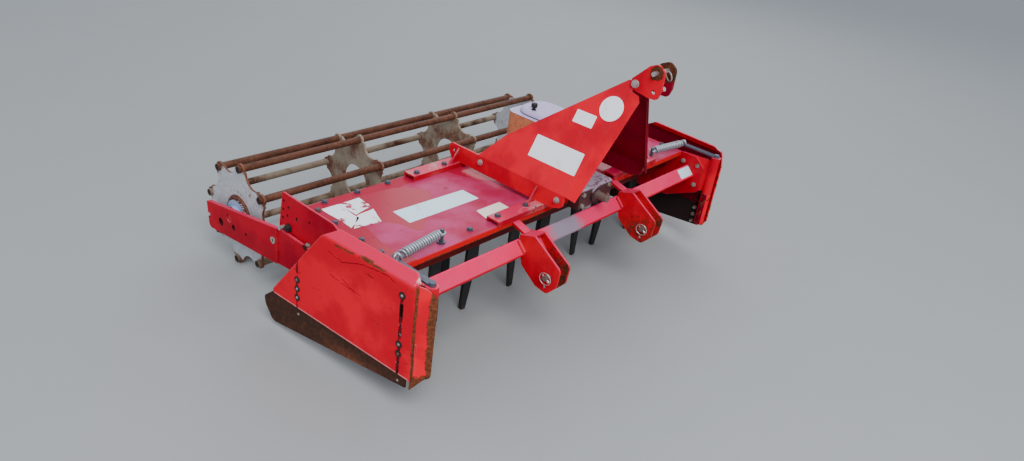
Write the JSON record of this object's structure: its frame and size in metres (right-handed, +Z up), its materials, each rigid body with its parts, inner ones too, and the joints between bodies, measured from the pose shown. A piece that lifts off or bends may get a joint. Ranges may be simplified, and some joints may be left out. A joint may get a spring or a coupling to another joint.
{
  "type": "power harrow",
  "caption": "Tractor-mounted rotary power harrow with knife tines, sprung side shields, a leaning headstock and a cage roller behind.",
  "frame": {"origin": "on the ground, midway across and midway between the front of the headstock and the back of the roller", "axes": "+Z up, -Y forward to the tractor, +X the machine's left; the working width lies along X"},
  "size_m": [2.171, 1.5621, 1.1501],
  "materials": {
    "red_paint": "glossy red paint with worn edges",
    "worn_red_paint": "red paint worn through to rust",
    "rusty_steel": "brown rust",
    "rusty_casting": "orange rust over cast iron",
    "pale_casting": "faded paint",
    "grey_steel": "dull grey with mud",
    "bare_steel": "zinc plated, dull",
    "spring_steel": "dull",
    "black_forging": "black forging scale"
  },
  "bodies": {
    "frame": {"trough": "red_paint", "trough_lid": "red_paint", "end_plate_right": "red_paint", "end_plate_left": "red_paint", "front_beam": "red_paint", "hitch_clevis_right": "worn_red_paint", "hitch_clevis_left": "worn_red_paint", "hitch_pin_right": "bare_steel", "hitch_pin_left": "bare_steel", "headstock_plate_right": "red_paint", "headstock_plate_left": "red_paint", "headstock_spacer": "bare_steel", "top_link_pin": "bare_steel", "rails_right": "red_paint", "rails_left": "red_paint", "gearbox": "rusty_casting", "gearbox_cover": "pale_casting", "input_housing": "pale_casting", "hinge_bracket_right": "red_paint", "hinge_bracket_left": "red_paint", "spring_posts": "bare_steel", "spring_right": "spring_steel", "spring_left": "spring_steel", "arm_pivot_pins": "bare_steel", "depth_stops": "bare_steel"},
    "rotor_1": {"rotor_1": "black_forging"},
    "rotor_2": {"rotor_2": "black_forging"},
    "rotor_3": {"rotor_3": "black_forging"},
    "rotor_4": {"rotor_4": "black_forging"},
    "rotor_5": {"rotor_5": "black_forging"},
    "rotor_6": {"rotor_6": "black_forging"},
    "rotor_7": {"rotor_7": "black_forging"},
    "rotor_8": {"rotor_8": "black_forging"},
    "pto_shaft": {"pto_shaft": "bare_steel"},
    "roller_frame": {"roller_arm_right": "red_paint", "roller_arm_left": "red_paint"},
    "roller": {"roller_discs": "grey_steel", "roller_bars": "rusty_steel"},
    "shield_right": {"shield_right": "red_paint", "wear_plate_right": "rusty_steel", "shield_lever_right": "bare_steel"},
    "shield_left": {"shield_left": "red_paint", "wear_plate_left": "rusty_steel", "shield_lever_left": "bare_steel"}
  },
  "joints": [
    {"name": "rotor_1_spin", "type": "hinge", "parent": "frame", "child": "rotor_1", "pos_m": [-0.84, -0.227, 0.3], "axis": [0, 0, 1], "continuous": true},
    {"name": "rotor_2_spin", "type": "hinge", "parent": "frame", "child": "rotor_2", "pos_m": [-0.6, -0.227, 0.3], "axis": [0, 0, 1], "continuous": true},
    {"name": "rotor_3_spin", "type": "hinge", "parent": "frame", "child": "rotor_3", "pos_m": [-0.36, -0.227, 0.3], "axis": [0, 0, 1], "continuous": true},
    {"name": "rotor_4_spin", "type": "hinge", "parent": "frame", "child": "rotor_4", "pos_m": [-0.12, -0.227, 0.3], "axis": [0, 0, 1], "continuous": true},
    {"name": "rotor_5_spin", "type": "hinge", "parent": "frame", "child": "rotor_5", "pos_m": [0.12, -0.227, 0.3], "axis": [0, 0, 1], "continuous": true},
    {"name": "rotor_6_spin", "type": "hinge", "parent": "frame", "child": "rotor_6", "pos_m": [0.36, -0.227, 0.3], "axis": [0, 0, 1], "continuous": true},
    {"name": "rotor_7_spin", "type": "hinge", "parent": "frame", "child": "rotor_7", "pos_m": [0.6, -0.227, 0.3], "axis": [0, 0, 1], "continuous": true},
    {"name": "rotor_8_spin", "type": "hinge", "parent": "frame", "child": "rotor_8", "pos_m": [0.84, -0.227, 0.3], "axis": [0, 0, 1], "continuous": true},
    {"name": "pto_spin", "type": "hinge", "parent": "frame", "child": "pto_shaft", "pos_m": [0.12, -0.59, 0.517], "axis": [0, 1, 0], "continuous": true},
    {"name": "roller_arms_swing", "type": "hinge", "parent": "frame", "child": "roller_frame", "pos_m": [0, -0.42, 0.3], "axis": [-1, 0, 0], "range_deg": [0, 15]},
    {"name": "roller_spin", "type": "hinge", "parent": "roller_frame", "child": "roller", "pos_m": [0, 0.533, 0.24814], "axis": [1, 0, 0], "continuous": true},
    {"name": "shield_right_swing", "type": "hinge", "parent": "frame", "child": "shield_right", "pos_m": [-0.971, -0.685, 0.35], "axis": [0, 0, 1], "range_deg": [0, 25], "stiffness_Nm_per_rad": 120, "springref_deg": -8.59, "deforming": ["spring_right"]},
    {"name": "shield_left_swing", "type": "hinge", "parent": "frame", "child": "shield_left", "pos_m": [0.971, -0.685, 0.35], "axis": [0, 0, -1], "range_deg": [0, 25], "stiffness_Nm_per_rad": 120, "springref_deg": -8.59, "deforming": ["spring_left"]}
  ],
  "couplings": [
    {"joint": "rotor_2_spin", "follows": "rotor_1_spin", "ratio": -1},
    {"joint": "rotor_3_spin", "follows": "rotor_1_spin", "ratio": 1},
    {"joint": "rotor_4_spin", "follows": "rotor_1_spin", "ratio": -1},
    {"joint": "rotor_5_spin", "follows": "rotor_1_spin", "ratio": 1},
    {"joint": "rotor_6_spin", "follows": "rotor_1_spin", "ratio": -1},
    {"joint": "rotor_7_spin", "follows": "rotor_1_spin", "ratio": 1},
    {"joint": "rotor_8_spin", "follows": "rotor_1_spin", "ratio": -1},
    {"joint": "pto_spin", "follows": "rotor_1_spin", "ratio": 1.8}
  ]
}
